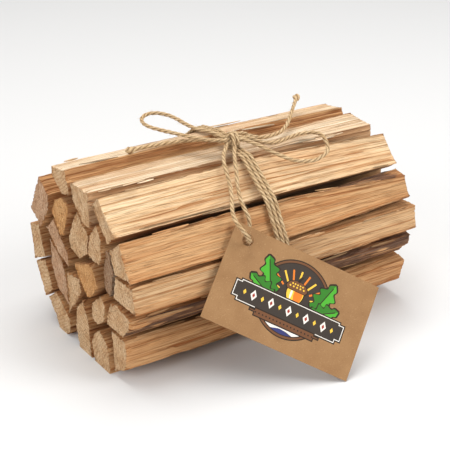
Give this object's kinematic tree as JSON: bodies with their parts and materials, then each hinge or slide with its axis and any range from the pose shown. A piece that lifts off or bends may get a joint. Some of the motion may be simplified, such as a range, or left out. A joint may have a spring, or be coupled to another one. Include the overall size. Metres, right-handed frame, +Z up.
{
  "type": "bundle of kindling",
  "caption": "Round bundle of split kindling sticks, tied round the middle with jute twine in a bow, with a plain card tag on a string.",
  "frame": {"origin": "centre of the bundle's underside, on the surface that it lies on; the bow, the loose twine and the tag are left out of that box", "axes": "+X along the sticks, +Y towards the back of the bundle, away from the side where the tag leans, +Z up"},
  "size_m": [0.206, 0.1832, 0.1249],
  "materials": {
    "wood_pale": "freshly split, raw",
    "wood_tan": "freshly split, raw",
    "wood_brown": "rough split, raw",
    "wood_grey": "weathered, raw",
    "bark": "split wood with bark along an edge",
    "twine": "twisted jute, matt and hairy",
    "card": "matt kraft card"
  },
  "bodies": {
    "root": {"stick_top_back": "wood_pale", "stick_top_middle": "wood_pale", "stick_top_front": "wood_pale", "stick_front_upper": "wood_tan", "stick_front_middle": "wood_tan", "stick_front_bark": "bark", "stick_front_lower": "wood_tan", "stick_bottom_front": "wood_tan", "stick_bottom_middle": "wood_tan", "stick_bottom_back": "wood_tan", "stick_back_lower": "wood_brown", "stick_back_middle": "wood_tan", "stick_back_upper": "wood_brown", "stick_inner_top_back": "wood_brown", "stick_inner_top_middle": "wood_tan", "stick_inner_top_front": "wood_tan", "stick_core": "wood_brown", "stick_inner_back": "wood_tan", "stick_inner_low_back": "wood_brown", "stick_inner_low_middle": "wood_tan", "stick_inner_slab": "wood_grey", "stick_inner_low_front": "wood_tan", "twine_wraps": "twine", "knot": "twine", "bow_loop_left": "twine", "bow_loop_right": "twine", "twine_end_left": "twine", "twine_end_right": "twine", "tag_string": "twine", "tag": "card"}
  },
  "joints": []
}
